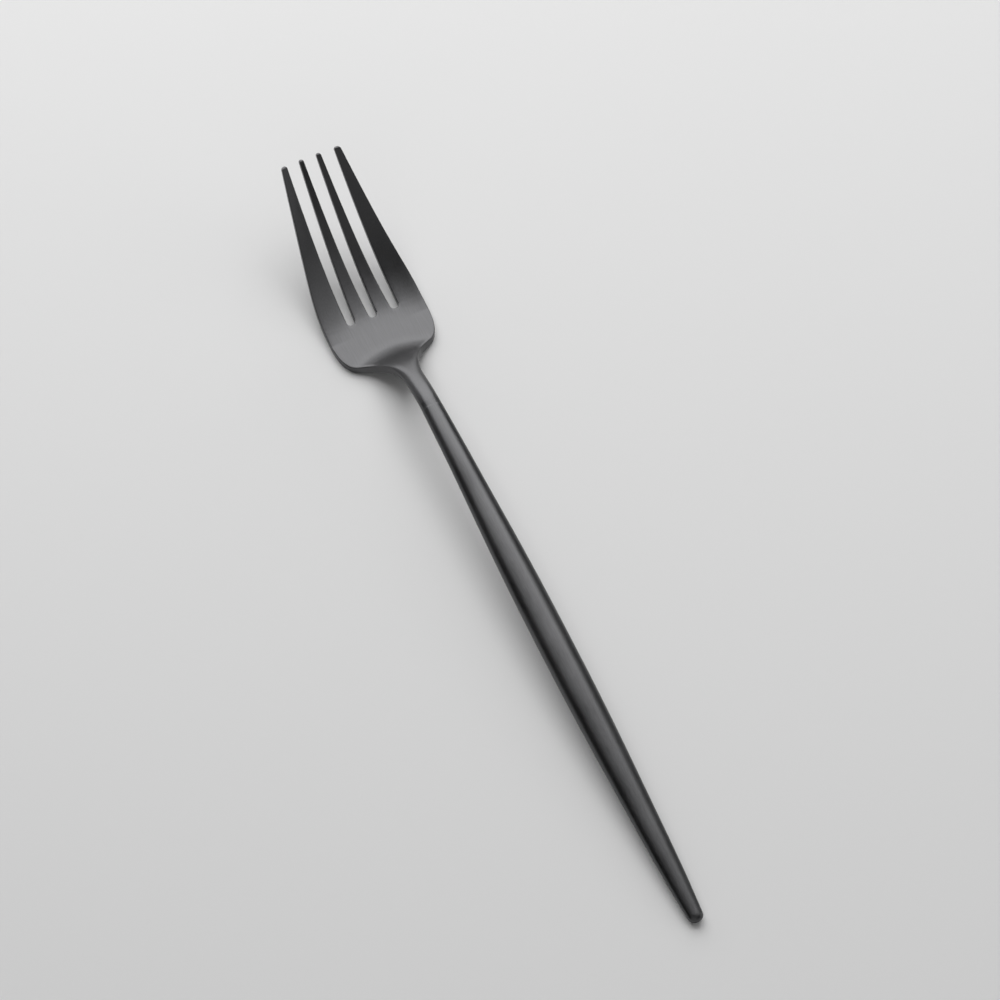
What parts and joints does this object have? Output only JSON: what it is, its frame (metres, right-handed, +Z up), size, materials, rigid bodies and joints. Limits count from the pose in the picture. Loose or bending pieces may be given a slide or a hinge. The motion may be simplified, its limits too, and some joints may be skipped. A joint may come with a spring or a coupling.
{
  "type": "dinner fork",
  "caption": "Slim dinner fork with a dished, tapering tined head, a step-down neck and a long oval handle, all in satin black steel; it spears and lifts food.",
  "frame": {"origin": "middle of the fork's length and width, on the table that it lies on", "axes": "+X runs along the fork from the handle's end to the tine tips, +Y across it, +Z up, with the tines curling upwards"},
  "size_m": [0.215, 0.0262, 0.0234],
  "materials": {
    "black_steel": "stainless steel with a thin black vapour coating, brushed along its length to a satin sheen"
  },
  "bodies": {
    "root": {"fork_head": "black_steel", "handle": "black_steel", "neck_weld": "black_steel"}
  },
  "joints": []
}
